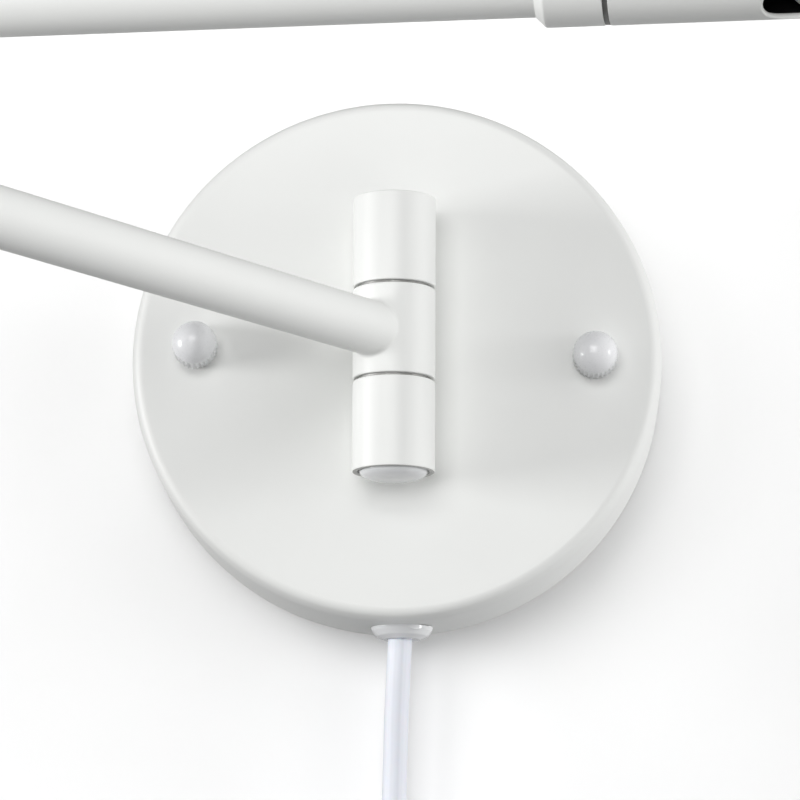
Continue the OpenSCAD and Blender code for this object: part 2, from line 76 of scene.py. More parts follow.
RIGHT = Vector((1, 0, 0))
OUT = Vector((0, -1, 0))  # from the wall into the room
ROW = Matrix.Scale(MM, 4)  # the row frame itself, in mm
JOINTS = {j["name"]: j for j in frame["joints"]}
MOUNTS = {m["name"]: m for m in frame["record"]["mounts"]}
SLOT_OF = {s["node"]: s["material_slot"] for s in frame["record"]["subparts"]}


# ---------- local frames ----------

def local_frame(origin, z, x):
    """A frame in mm at origin, in metres, with its z axis along z and its x axis near x."""
    z = Vector(z).normalized()
    y = z.cross(Vector(x)).normalized()
    axes = Matrix((y.cross(z), y, z)).transposed() * MM
    return Matrix.Translation(origin) @ axes.to_4x4()


def joint_at(name):
    return Vector(JOINTS[name]["pos_m"])


def joint_axis(name):
    return Vector(JOINTS[name]["axis"])


wall_pivot = joint_at("wall_swing")
elbow = joint_at("elbow_swing")
elbow_low = Vector((elbow.x, elbow.y, wall_pivot.z))
pin = joint_at("head_tilt")
arm_axis = joint_axis("head_roll")
tilt_axis = joint_axis("head_tilt")
head_axis = Vector(MOUNTS["lamp_socket"]["axis"])
knob_axis = joint_axis("switch_turn")
knob_foot = pin + head_axis * (joint_at("switch_turn") - pin).dot(head_axis)

WALL = local_frame((0, 0, 0), OUT, RIGHT)
BARREL = local_frame((wall_pivot.x, wall_pivot.y, 0), UP, RIGHT)
HUB = local_frame(wall_pivot, UP, elbow_low - wall_pivot)
LOWER = local_frame(wall_pivot, elbow_low - wall_pivot, UP)
ELBOW_LOW = local_frame(elbow_low, UP, wall_pivot - elbow_low)
ELBOW_HIGH = local_frame(elbow, UP, arm_axis)
UPPER = local_frame(elbow, arm_axis, UP)
SWIVEL = local_frame(pin, arm_axis.cross(tilt_axis), arm_axis)
SWIVEL_ALONG = local_frame(pin, arm_axis, -arm_axis.cross(tilt_axis))
HEAD = local_frame(pin, head_axis, tilt_axis.cross(head_axis))
KNOB = local_frame(knob_foot, knob_axis, tilt_axis.cross(head_axis))


def reach(node, where):
    """Lowest and highest z of a CAD node in a local frame, and its largest radius about z."""
    points = np.array([v.co for v in frame["nodes"][node].data.vertices])
    turned = np.c_[points, np.ones(len(points))] @ np.array(where.inverted()).T
    return turned[:, 2].min(), turned[:, 2].max(), np.hypot(turned[:, 0], turned[:, 1]).max()


def middle(node):
    low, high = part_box(node)
    return (low + high) / 2


def added(name, data):
    """A new object in the scene."""
    made = bpy.data.objects.new(name, data)
    bpy.context.scene.collection.objects.link(made)
    return made


def add_node(tree, kind, inputs=None, **settings):
    """A new node. Each input is either a value or the socket that feeds it."""
    made = tree.nodes.new(kind)
    for key, value in settings.items():
        setattr(made, key, value)
    for key, value in (inputs or {}).items():
        if isinstance(value, bpy.types.NodeSocket):
            tree.links.new(value, made.inputs[key])
        else:
            made.inputs[key].default_value = value
    return made


# ---------- camera ----------

camera = added("camera", bpy.data.cameras.new("camera"))
CAMERA_AT = (0.03564, -0.94541, -0.19804)
CAMERA_YAW, CAMERA_PITCH, CAMERA_ROLL = -0.0377, 0.2012, 0.005
camera.matrix_world = (
    Matrix.Translation(CAMERA_AT)
    @ Matrix.Rotation(-CAMERA_YAW, 4, "Z")
    @ Matrix.Rotation(pi / 2 + CAMERA_PITCH, 4, "X")
    @ Matrix.Rotation(CAMERA_ROLL, 4, "Z")
)
camera.data.lens = 177.1
camera.data.clip_start = 0.05
camera.data.clip_end = 50
bpy.context.scene.camera = camera


# ---------- materials ----------

MIX_A, MIX_B, MIX_RESULT = 6, 7, 2  # the Mix node's colour sockets


class Shader:
    """A node material: fixed values sit on the Principled sockets, patterns are linked in."""

    def __init__(self, name, **fixed):
        self.material = bpy.data.materials.new(name)
        self.material.use_nodes = True
        self.tree = self.material.node_tree
        self.principled = self.tree.nodes["Principled BSDF"]
        for socket, value in fixed.items():
            self.principled.inputs[socket.replace("_", " ")].default_value = value
        self.place = self.node("ShaderNodeTexCoord").outputs["Object"]

    def node(self, kind, inputs=None, **settings):
        return add_node(self.tree, kind, inputs, **settings)

    def to(self, socket, output):
        self.tree.links.new(output, self.principled.inputs[socket])

    def stretched(self, scale):
        """Object coordinates scaled by three factors."""
        return self.node("ShaderNodeMapping", {"Vector": self.place, "Scale": scale}).outputs[0]

    def noise(self, scale, detail=2.0, vector=None):
        return self.node("ShaderNodeTexNoise", {
            "Vector": vector or self.place, "Scale": scale, "Detail": detail,
        }).outputs["Fac"]

    def span(self, factor, low, high):
        return self.node("ShaderNodeMapRange", {
            "Value": factor, "From Min": 0.3, "From Max": 0.7, "To Min": low, "To Max": high,
        }).outputs[0]

    def tones(self, factor, colour, low, high=1.0):
        """A base colour whose brightness wavers with a pattern between low and high."""
        dim, bright = [(*(min(1.0, c * k) for c in colour), 1) for k in (low, high)]
        inputs = {0: self.span(factor, 0, 1), MIX_A: dim, MIX_B: bright}
        mix = self.node("ShaderNodeMix", inputs, data_type="RGBA")
        self.to("Base Color", mix.outputs[MIX_RESULT])

    def bump(self, *layers):
        """Layers of (height, strength, distance in metres), one on another."""
        below = None
        for height, strength, distance in layers:
            inputs = {"Height": height, "Strength": strength, "Distance": distance}
            if below is not None:
                inputs["Normal"] = below
            below = self.node("ShaderNodeBump", inputs).outputs[0]
        self.to("Normal", below)


def paint(name, colour, roughness, peel=0.12, **fixed):
    """Powder coat: soft orange peel, a finer grain in it, and faint unevenness in tone."""
    s = Shader(name, **fixed)
    grain = s.noise(2600, 2)
    s.tones(s.noise(26, 3), colour, 0.985, 1.01)
    s.to("Roughness", s.span(grain, roughness - 0.05, roughness + 0.05))
    s.bump((s.noise(620, 2), peel, 0.0001), (grain, peel * 0.8, 0.00003))
    return s.material


def plastic(name, colour, roughness, texture=0.1, scale=1800, **fixed):
    """Moulded plastic with a fine spark-eroded texture."""
    s = Shader(name, **fixed)
    fine = s.noise(scale, 2)
    s.tones(s.noise(45, 3), colour, 0.96)
    s.to("Roughness", s.span(fine, roughness - 0.04, roughness + 0.06))
    s.bump((fine, texture, 0.00005))
    return s.material


def metal(name, colour, roughness, streaks=(900, 900, 90), **fixed):
    """Plated or plain metal with fine drawn streaks and cloudy patches."""
    s = Shader(name, Metallic=1.0, **fixed)
    fine = s.noise(1, 3, s.stretched(streaks))
    s.tones(s.noise(110, 4), colour, 0.82)
    s.to("Roughness", s.span(fine, roughness - 0.1, roughness + 0.14))
    s.bump((fine, 0.2, 0.00004))
    return s.material


def sheath(name, colour, lines):
    """Soft extruded sheath with faint lines along it; the mesh carries where each line runs."""
    s = Shader(name, Subsurface_Weight=0.12, Subsurface_Scale=0.002)
    around = s.node("ShaderNodeAttribute", attribute_name="around").outputs["Fac"]
    line = s.node("ShaderNodeMath", {0: around, 1: lines}, operation="MULTIPLY").outputs[0]
    stripe = s.node("ShaderNodeTexNoise", {"W": line, "Scale": 1.0, "Detail": 1.0},
                    noise_dimensions="1D").outputs["Fac"]
    s.tones(stripe, colour, 0.96)
    s.to("Roughness", s.span(s.noise(700, 2), 0.54, 0.66))
    s.bump((stripe, 0.25, 0.0001), (s.noise(1500, 2), 0.05, 0.00004))
    return s.material


WHITE = (0.86, 0.868, 0.852)
MATERIALS = {
    "canopy_paint": paint("canopy_powder_coat", WHITE, 0.5),
    "arm_paint": paint("arm_powder_coat", WHITE, 0.46),
    "shade_paint": paint("shade_powder_coat", WHITE, 0.38),
    "ball_enamel": paint("gloss_enamel", (0.85, 0.855, 0.87), 0.3, 0.04, Coat_Weight=0.3,
                         Coat_Roughness=0.12),
    "cap_white": plastic("gloss_white_moulding", (0.84, 0.85, 0.86), 0.16, 0.03,
                         Coat_Weight=0.3, Coat_Roughness=0.08),
    "zinc_steel": metal("zinc_plated_steel", (0.63, 0.64, 0.66), 0.34),
    "brass_plain": metal("plain_brass", (0.79, 0.6, 0.3), 0.28),
    "washer_black": plastic("black_nylon", (0.035, 0.035, 0.038), 0.5, 0.2),
    "washer_grey": metal("satin_washer", (0.34, 0.34, 0.33), 0.5),
    "bush_tan": plastic("natural_nylon", (0.72, 0.66, 0.52), 0.45),
    "cord_white": sheath("soft_white_sheath", (0.8, 0.825, 0.89), 9.0),
    "plug_white": plastic("moulded_white_plug", (0.83, 0.85, 0.89), 0.42, 0.25, 1100),
    "tie_white": plastic("woven_white_strap", (0.72, 0.73, 0.74), 0.8, 0.7, 900),
    "nut_orange": plastic("moulded_orange", (0.85, 0.27, 0.04), 0.4, 0.15),
    "wire_dark": plastic("black_insulation", (0.04, 0.04, 0.045), 0.4, 0.1),
    "ground_green": paint("green_enamel", (0.04, 0.33, 0.1), 0.3),
    "phenolic": plastic("black_phenolic", (0.03, 0.03, 0.032), 0.3, 0.12),
}
INNER_WHITE = paint("shade_inner_white", (0.88, 0.885, 0.88), 0.6, 0.2)
MACHINED = metal("machined_rim", (0.45, 0.45, 0.44), 0.42, (2400, 2400, 2400))
# near-black colour for the swivel sleeve's bore: painted shade where the inside of the slot lies in
# shade
SLEEVE_PAINTED_SHADE = plastic("sleeve_bore_painted_shade", (0.012, 0.012, 0.013), 0.5, 0.1)


# ---------- mesh code ----------

def turns_of(count, start=0):
    """Angles spread evenly round a circle, the first one start steps on."""
    return [2 * pi * (k + start) / count for k in range(count)]


def arc(cx, cy, radius, first, last, steps):
    """Points of an arc, with angles in degrees."""
    angles = [radians(first + (last - first) * k / steps) for k in range(steps + 1)]
    return [(cx + radius * cos(a), cy + radius * sin(a)) for a in angles]


def rounded(corners, steps=5):
    """A closed outline through corners (x, y, radius), each rounded by its own radius."""
    points = []
    places = np.array(corners, float)[:, :2]
    for i, (x, y, radius) in enumerate(corners):
        if radius <= 0:
            points.append((x, y))
            continue
        here = places[i]
        a, b = places[i - 1] - here, places[(i + 1) % len(corners)] - here
        long_a, long_b = norm(a), norm(b)
        a, b = a / long_a, b / long_b
        half = acos(max(-1.0, min(1.0, float(a @ b)))) / 2
        back = min(radius / tan(half), 0.48 * long_a, 0.48 * long_b)
        centre = here + (a + b) / norm(a + b) * back / cos(half)
        start, end = here + a * back - centre, here + b * back - centre
        first, last = [degrees(atan2(to[1], to[0])) for to in (start, end)]
        turn = (last - first + 180) % 360 - 180
        points += arc(*centre, norm(start), first, first + turn, steps)
    return points


def skin(rings, close_rings=True, close_ends=False):
    """Vertices and faces over a list of rings with the same number of points."""
    count = len(rings[0])
    vertices = [p for ring in rings for p in ring]
    faces = []
    for i in range(len(rings) if close_ends else len(rings) - 1):
        a, b = i * count, ((i + 1) % len(rings)) * count
        for k in range(count if close_rings else count - 1):
            j = (k + 1) % count
            faces.append((a + k, a + j, b + j, b + k))
    return vertices, faces


def capped(part, count, first=True):
    """The same skin with its last ring, and its first one, closed by a face."""
    vertices, faces = part
    faces = faces + [tuple(range(len(vertices) - count, len(vertices)))]
    if first:
        faces.append(tuple(range(count - 1, -1, -1)))
    return vertices, faces


def lathe(outline, sides=96, shape=None):
    """A closed outline of (radius, z) turned about z. shape(r, z, angle) may change a radius."""
    rings = []
    for r, z in outline:
        ring = []
        for angle in turns_of(sides):
            far = shape(r, z, angle) if shape and r > 0 else r
            ring.append((far * cos(angle), far * sin(angle), z))
        rings.append(ring)
    return skin(rings, close_ends=True)


def joined(*parts):
    """Several (vertices, faces) as one."""
    vertices, faces = [], []
    for some, of_them in parts:
        start = len(vertices)
        vertices += list(some)
        faces += [tuple(start + i for i in face) for face in of_them]
    return vertices, faces


def moved(part, matrix):
    return [tuple(matrix @ Vector(v)) for v in part[0]], part[1]


def clean_mesh(name, part, where):
    """A mesh in the row frame from (vertices, faces) in a local one: welded, facing outwards."""
    mesh = bpy.data.meshes.new(name)
    mesh.from_pydata([where @ Vector(v) for v in part[0]], [], part[1])
    shell = bmesh.new()
    shell.from_mesh(mesh)
    bmesh.ops.remove_doubles(shell, verts=shell.verts, dist=2e-6)
    bmesh.ops.dissolve_degenerate(shell, edges=shell.edges, dist=1e-6)
    bmesh.ops.recalc_face_normals(shell, faces=shell.faces)
    shell.to_mesh(mesh)
    shell.free()
    return mesh


def wave(angle):
    """0 at each full turn of the angle and 1 halfway round."""
    return 0.5 - 0.5 * cos(angle)


def off_middle(angle, count):
    """How far an angle is from the nearest of count directions, spread evenly from 0."""
    step = 2 * pi / count
    return (angle + step / 2) % step - step / 2


def eased_normals(made, crease):
    made.data.shade_smooth()
    made.data.set_sharp_from_angle(angle=radians(crease))
    made.modifiers.new("even_normals", "WEIGHTED_NORMAL").keep_sharp = True


def piece(name, part, where, *nodes, other=None, crease=38):
    """A new object from (vertices, faces) in a local frame, standing for CAD nodes of one body.
    other is (material, test) for the faces whose centre and normal, both local, pass the test."""
    mesh = clean_mesh(name, part, where)
    made = added(name, mesh)
    slot = SLOT_OF[nodes[0]]
    mesh.materials.append(MATERIALS[slot])
    if other:
        mesh.materials.append(other[0])
        back = where.inverted()
        turn = back.to_3x3()
        for face in mesh.polygons:
            normal = (turn @ face.normal).normalized()
            face.material_index = int(other[1](back @ face.center, normal))
    eased_normals(made, crease)
    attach(made, frame["nodes"][nodes[0]]["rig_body"])
    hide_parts(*nodes)
    return made


def drilled(made, holes, crease=38):
    """Cuts round holes, (where, radius, from, to) with z along each hole, out of a piece."""
    for where, radius, low, high in holes:
        outline = [(0, low), (radius, low), (radius, high), (0, high)]
        tool = added("tool", clean_mesh("tool", lathe(outline, 48), where))
        made.modifiers.clear()
        cut = made.modifiers.new("hole", "BOOLEAN")
        cut.operation, cut.object, cut.solver = "DIFFERENCE", tool, "EXACT"
        bpy.context.view_layer.update()
        graph = bpy.context.evaluated_depsgraph_get()
        made.data = bpy.data.meshes.new_from_object(made.evaluated_get(graph))
        bpy.data.objects.remove(tool)
    made.modifiers.clear()
    eased_normals(made, crease)


def tube(line, radius, sides):
    """A round tube along a line, without twist, with closed ends."""
    line = [Vector(p) for p in line]
    side = Vector((0, 1, 0))
    rings = []
    for i, at in enumerate(line):
        heading = (line[min(i + 1, len(line) - 1)] - line[max(i - 1, 0)]).normalized()
        if abs(side.dot(heading)) > 0.99:
            side = heading.orthogonal()
        side = (side - heading * side.dot(heading)).normalized()
        across = heading.cross(side)
        rings.append([tuple(at + radius * (cos(a) * side + sin(a) * across))
                      for a in turns_of(sides)])
    return capped(skin(rings), sides)


def smooth_route(route, parts=3):
    """Catmull-Rom points through a route."""
    p = [np.array(q, float) for q in route]
    p = [2 * p[0] - p[1], *p, 2 * p[-1] - p[-2]]
    points = []
    for a, b, c, d in zip(p, p[1:], p[2:], p[3:]):
        for t in (k / parts for k in range(parts)):
            points.append(tuple(0.5 * (
                2 * b + (c - a) * t + (2 * a - 5 * b + 4 * c - d) * t * t
                + (3 * b - a - 3 * c + d) * t ** 3)))
    return points + [tuple(p[-2])]


def on_rectangle(angle, a, b, corner):
    """A point of a rounded rectangle with half sides a and b, and the normal there."""
    dx, dy = cos(angle), sin(angle)
    far = 1 / max(abs(dx) / a, abs(dy) / b)
    x, y = dx * far, dy * far
    # from the centre of the corner's arc, along each axis
    cx = copysign(max(0.0, min(abs(x), a) - (a - corner)), x)
    cy = copysign(max(0.0, min(abs(y), b) - (b - corner)), y)
    long = hypot(cx, cy)
    nx, ny = cx / long, cy / long
    return (x - cx + corner * nx, y - cy + corner * ny), (nx, ny)


def loft(stations, count=64):
    """Rounded rectangles (z, half width, half depth, corner radius) joined one after another."""
    return capped(skin([[(*on_rectangle(angle, a, b, corner)[0], z)
                         for angle in turns_of(count, 0.5)]
                        for z, a, b, corner in stations]), count)


# ---------- cord, coil and plug ----------

CORD_R = 2.9
CORD_SIDES = 20
# The CAD model's own route, from the bush's mouth to the coil
CORD_ROUTE = [
    (0.8, -12.5, -65.4), (0.5, -12.5, -72), (0.25, -12.5, -77), (0.05, -12.5, -82),
    (-0.1, -12.5, -87), (-0.2, -12.5, -92), (-0.3, -12.5, -97), (-0.4, -12.5, -102),
    (-0.4, -12.5, -106), (-0.1, -12.5, -111), (0.7, -12.5, -116), (2.4, -12.5, -121),
    (5.5, -12.5, -126.5), (9.5, -12.5, -131), (14, -12.5, -134.5), (19.5, -12.5, -137.5),
]
COIL_Z = -171
COIL_ENTRY = 60  # degrees from +X, where the cord joins the outermost turn
# (radius, y) of each turn, side by side and then inwards, a diameter apart
COIL_TURNS = [
    (39, -12.5), (39, -18.5), (39, -24.5), (33, -24.5), (33, -18.5), (33, -12.5),
    (27, -12.5), (27, -18.5), (27, -24.5),
]
SHIFT_ARC = 80  # degrees over which the cord moves from one turn's place to the next
SHIFT_STEP = 40  # each shift is this much earlier in its turn than the last one
TAIL_OUT = -31  # y of the tail, in front of the coil
LIFT_ARC = 120  # degrees over which the cord lifts there


def eased(x):
    return (1 - cos(pi * max(0.0, min(1.0, x)))) / 2


def coil_points(step=5):
    """Points along the coil, clockwise from the entry, ending where the tail hangs down."""
    last = len(COIL_TURNS) - 1
    total = 360 * last + COIL_ENTRY
    points = []
    for gone in range(step, total + 1, step):
        turn = min(gone // 360, last)
        radius, y = COIL_TURNS[turn]
        if turn < last:
            start = 360 - SHIFT_ARC - SHIFT_STEP * turn
            share = eased((gone - 360 * turn - start) / SHIFT_ARC)
            radius += (COIL_TURNS[turn + 1][0] - radius) * share
            y += (COIL_TURNS[turn + 1][1] - y) * share
        y += (TAIL_OUT - COIL_TURNS[-1][1]) * eased((gone - total + LIFT_ARC) / LIFT_ARC)
        angle = radians(COIL_ENTRY - gone)
        points.append((radius * cos(angle), y, COIL_Z + radius * sin(angle)))
    return points


cord_x, cord_y, cord_exit = CORD_ROUTE[0]
cord_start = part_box("cord_inlet")[1].z / MM
plug_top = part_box("plug_body")[1].z / MM
inlet = [(cord_x, cord_y, cord_start + (cord_exit - cord_start) * k / 5) for k in range(5)]
tail_x, tail_end = COIL_TURNS[-1][0], plug_top - 2
tail = [(tail_x, TAIL_OUT, COIL_Z + (tail_end - COIL_Z) * k / 8) for k in range(1, 9)]
cord_line = inlet + smooth_route(CORD_ROUTE) + coil_points() + tail
cord = piece("supply_cord", tube(cord_line, CORD_R, CORD_SIDES), ROW,
             "cord", "cord_inlet", "cord_coil", "cord_tail")
around = cord.data.attributes.new("around", "FLOAT", "POINT")
for i in range(len(cord.data.vertices)):
    step_round = i % CORD_SIDES
    around.data[i].value = min(step_round, CORD_SIDES - step_round) / CORD_SIDES * 2


def strap():
    """A soft band round the coil's bundle, with its end lapped over and tucked down."""
    thick, wide, gap, half, corner = 0.9, 8.0, 0.5, 9.0, 3.4
    section = rounded([(0, -wide / 2, 0.3), (thick, -wide / 2, 0.3), (thick, wide / 2, 0.3),
                       (0, wide / 2, 0.3)], 3)

    def ring_at(angle, out):
        """The section where the band passes that angle, out from the bundle."""
        (x, y), (nx, ny) = on_rectangle(angle, half + gap + out, half + gap + out, corner)
        return [(x + nx * a, b, y + ny * a) for a, b in section]

    band = skin([ring_at(angle, 0) for angle in turns_of(96)], close_ends=True)
    lap = [ring_at(radians(60 + 5 * k), thick + 0.05 + 0.1 * max(0, k - 20)) for k in range(27)]
    return joined(band, capped(skin(lap), len(section)))


# The bundle's section lies across the strap's y axis, which follows the cord
coil_centre, tie_centre = middle("cord_coil"), middle("cord_tie")
tie_out = tie_centre - coil_centre
TIE = local_frame(tie_centre, tie_out, Vector((0, 1, 0)))
tie = piece("coil_strap", strap(), TIE, "cord_tie")

# The plug hangs blades down: z runs from its neck towards its blades
plug_at = middle("plug_body")
PLUG = local_frame((plug_at.x, plug_at.y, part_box("plug_body")[1].z), -UP, RIGHT)
RELIEF = 17  # length of the strain relief above the plug's block
PLUG_LONG = 34
BLADE_X = 6.35


def plug_part():
    """Ribbed strain relief, then a block with finger grips and a flat face."""
    stations = [(-1.6, 3.2, 3.2, 3.2), (-1.2, 3.7, 3.7, 3.7)]
    for k in range(5):
        z, r = 0.2 + 2.8 * k, 4.2 + 0.5 * k
        for rise, out in ((0, 0), (1.5, 0.15), (1.8, -0.45), (2.5, -0.45)):
            stations.append((z + rise, r + out, r + out, r + out))
    stations += [(RELIEF - 2.2, 7.0, 7.0, 6.9), (RELIEF - 0.9, 8.8, 8.0, 6.0),
                 (RELIEF, 10.8, 8.25, 4.8), (RELIEF + 1.2, 12.0, 8.4, 3.8),
                 (RELIEF + 3, 12.5, 8.5, 3.2)]
    for k in range(4):
        z = RELIEF + 4.4 + 2.1 * k
        for rise, wide in ((0, 12.5), (0.35, 11.9), (0.95, 11.9), (1.3, 12.5)):
            stations.append((z + rise, wide, 8.5, 3.0))
    stations += [(RELIEF + 13.6, 12.5, 8.5, 2.8), (RELIEF + 16.2, 12.5, 8.5, 2.6),
                 (RELIEF + 16.8, 12.2, 8.2, 2.4), (PLUG_LONG, 11.7, 7.7, 2.2)]
    return loft(stations, 96)


def blade_part():
    """Two flat blades with chamfered tips."""
    blade = loft([(PLUG_LONG - 2, 0.75, 3.2, 0.12), (PLUG_LONG + 15.2, 0.75, 3.2, 0.12),
                  (PLUG_LONG + 16.3, 0.62, 2.7, 0.1), (PLUG_LONG + 17, 0.35, 2.1, 0.08)], 32)
    return joined(*[moved(blade, Matrix.Translation((x, 0, 0))) for x in (-BLADE_X, BLADE_X)])


plug = piece("plug_moulding", plug_part(), PLUG, "plug_body", crease=50)
blades = piece("plug_prongs", blade_part(), PLUG, "plug_blades", crease=25)
drilled(blades, [(local_frame(PLUG @ Vector((0, 0, PLUG_LONG + 12)), RIGHT, UP), 1.6, -12, 12)], 25)


# ---------- canopy and what it holds ----------

SHEET = 1.2
EDGE_AT, SIDE_AT = 3.018, 9.0  # in from the rim: centres of the edge's and the side's bends
EDGE, SIDE_BEND = 2.4, 25.0  # the edge's own radius, and where the side's bend passes into it
canopy_depth, canopy_r = reach("canopy", WALL)[1:]
barrel_low, barrel_high, barrel_r = reach("barrel_top", BARREL)
bottom_low, bottom_high, _ = reach("barrel_bottom", BARREL)
half_segment = (barrel_high - barrel_low) / 2
TOP_HOLE = local_frame((0, 0, (barrel_low + barrel_high) / 2 * MM), OUT, RIGHT)
BOTTOM_HOLE = local_frame((0, 0, (bottom_low + bottom_high) / 2 * MM), OUT, RIGHT)
STUDS = [local_frame((at.x, 0, at.z), OUT, RIGHT)
         for at in (middle("ball_nut_left"), middle("ball_nut_right"))]
bush_at = middle("cord_grommet")
BUSH = local_frame((bush_at.x, CORD_ROUTE[0][1] * MM, 0), UP, RIGHT)

edge_z = canopy_depth - EDGE
side_z = edge_z - (SIDE_AT - EDGE) * sin(radians(SIDE_BEND))


def canopy_bend(inside):
    """Section of the canopy from its face round to its side, this far inside the skin."""
    return (arc(canopy_r - EDGE_AT, edge_z, EDGE - inside, 90, SIDE_BEND, 12)
            + arc(canopy_r - SIDE_AT, side_z, SIDE_AT - inside, SIDE_BEND, 0, 8)[1:])


canopy = piece("canopy_shell", lathe(
    [(0, canopy_depth)] + canopy_bend(0)
    + rounded([(canopy_r, side_z / 2, 0), (canopy_r, 0, 0.35), (canopy_r - SHEET, 0, 0.35),
               (canopy_r - SHEET, side_z / 2, 0)], 5)
    + canopy_bend(SHEET)[::-1] + [(0, canopy_depth - SHEET)], 180), WALL, "canopy")
drilled(canopy, [(STUDS[0], 2.4, 20, 35), (STUDS[1], 2.4, 20, 35), (TOP_HOLE, 4.1, 20, 35),
                 (BOTTOM_HOLE, 2.3, 20, 35), (BUSH, 5.0, -80, -40)])

RIDGES, RIDGE_DEPTH, KNURL_FROM, KNURL_TOP = 30, 0.34, 4.9, 5.6
NUT_R, DOME_AT = 5.4, 4.2  # the nut's radius, and the height where its dome starts


def knurl(r, z, angle):
    """Straight knurling on the nut's skirt, fading out where the dome begins."""
    if r < KNURL_FROM or z > KNURL_TOP:
        return r
    deep = RIDGE_DEPTH * min(1.0, (r - KNURL_FROM) / 0.25, (KNURL_TOP - z) / 0.5)
    return r - deep * wave(RIDGES * angle) ** 0.6


ball_outline = rounded([
    (0, 0, 0), (4.98, 0, 0.15), (NUT_R, 0.45, 0.1), (NUT_R, 1.5, 0), (NUT_R, 2.8, 0)], 3)
ball_outline += arc(0, DOME_AT, NUT_R, 0, 89, 40) + [(0, DOME_AT + NUT_R)]
for side, where in zip(("left", "right"), STUDS):
    piece("ball_nut_" + side + "_turned", lathe(ball_outline, RIDGES * 12, knurl),
          where @ Matrix.Translation((0, 0, canopy_depth)), "ball_nut_" + side, crease=55)


def threaded(pitch, depth, low=-1e9, high=1e9, least=0.0):
    """A shape for lathe: a thread of that pitch between two heights, beyond a least radius."""
    def shape(r, z, angle):
        if r <= least or not low < z < high:
            return r
        turn = z / pitch - angle / (2 * pi)
        return r - depth * wave(2 * pi * turn)
    return shape


def rod(r, low, high, pitch):
    """Side of a rod, with enough points along it to carry a thread."""
    steps = int((high - low) / pitch * 6)
    return [(r, low + (high - low) * k / steps) for k in range(steps + 1)]


def on_both_studs(part):
    return joined(*[moved(part, WALL.inverted() @ where) for where in STUDS])


STUD_R, STUD_PITCH = 2.0, 0.8
stud_low, stud_high, _ = reach("canopy_studs", WALL)
stud = lathe([(0, stud_low)] + rod(STUD_R, stud_low, stud_high, STUD_PITCH) + [(0, stud_high)], 18,
             threaded(STUD_PITCH, 0.3))
piece("threaded_studs", on_both_studs(stud), WALL, "canopy_studs", crease=60)


def hexagon(across, least):
    """A shape for lathe that limits radii beyond least to a hexagon."""
    def shape(r, z, angle):
        return r if r < least else min(r, across / 2 / cos(off_middle(angle, 6)))
    return shape


def hex_side(across, low, high):
    """Side of a nut or bolt head whose corners are chamfered as a lathe would turn them."""
    flat, corner = across / 2, across / 2 / cos(pi / 6)
    up = [(flat - 0.03, low), ((flat + corner) / 2, low + (corner - flat) * 0.2),
          (corner, low + (corner - flat) * 0.5)]
    return up + [(r, low + high - z) for r, z in reversed(up)]


def hex_nut(across, inner, low, high):
    outline = [(inner, high - 0.3), (inner, low + 0.3), (inner + 0.3, low)]
    outline += hex_side(across, low, high) + [(inner + 0.3, high)]
    return lathe(outline, 72, hexagon(across, across / 2 - 0.1))


nut_low, nut_high, _ = reach("stud_nuts", WALL)
piece("stud_lock_nuts", on_both_studs(hex_nut(7, 2.05, nut_low, nut_high)), WALL, "stud_nuts",
      crease=30)
piece("nipple_lock_nut", hex_nut(12, 3.95, *reach("nipple_nut", TOP_HOLE)[:2]), TOP_HOLE,
      "nipple_nut", crease=30)
NIPPLE_R, NIPPLE_PITCH = 3.9, 0.94
nipple_low, nipple_high, _ = reach("feed_nipple", TOP_HOLE)
nipple_outline = rod(NIPPLE_R, nipple_low, nipple_high, NIPPLE_PITCH) + [
    (2.9, nipple_high), (2.7, nipple_high - 0.2), (2.7, nipple_low + 0.2), (2.9, nipple_low)]
piece("feed_nipple_threaded", lathe(nipple_outline, 36, threaded(NIPPLE_PITCH, 0.35, least=3.0)),
      TOP_HOLE, "feed_nipple", crease=60)

screw_low, screw_high, _ = reach("ground_screw", WALL)
GROUND = local_frame((middle("ground_screw").x, 0, 0), OUT, RIGHT)
ground_head = [(0, screw_low), (1.9, screw_low), (1.9, 2.0)] + hex_side(7.27, 2.0, screw_high)
ground_head += [(2.2, screw_high), (1.9, screw_high - 0.6), (0, screw_high - 0.7)]
piece("ground_screw_hex", lathe(ground_head, 72, hexagon(7.27, 3.5)), GROUND, "ground_screw",
      crease=30)


def socket_screw(shank, shank_low, head_r, low, high, key=1.25):
    """A low domed head with a hexagon socket, on a plain shank below it."""
    def shape(r, z, angle):
        if r > key + 0.05 or z <= low + 0.3:
            return r
        return r * cos(pi / 6) / cos(off_middle(angle, 6))
    tall = high - low
    return lathe(rounded([
        (0, shank_low, 0), (shank, shank_low, 0.3), (shank, low, 0), (head_r, low, 0.15),
        (head_r, low + tall * 0.5, 0.4), (head_r * 0.72, high, 0.5), (key + 0.15, high, 0.1),
        (key, high - 0.12, 0), (key, low + 0.5, 0), (0, low + 0.45, 0)], 4), 48, shape)


SCREW_HEAD = local_frame((0, -(canopy_depth - SHEET) * MM, BOTTOM_HOLE.translation.z), -OUT, RIGHT)
piece("barrel_screw_domed", socket_screw(1.95, -6, 3.6, 0, 2.4, 1.5), SCREW_HEAD,
      "barrel_screw")

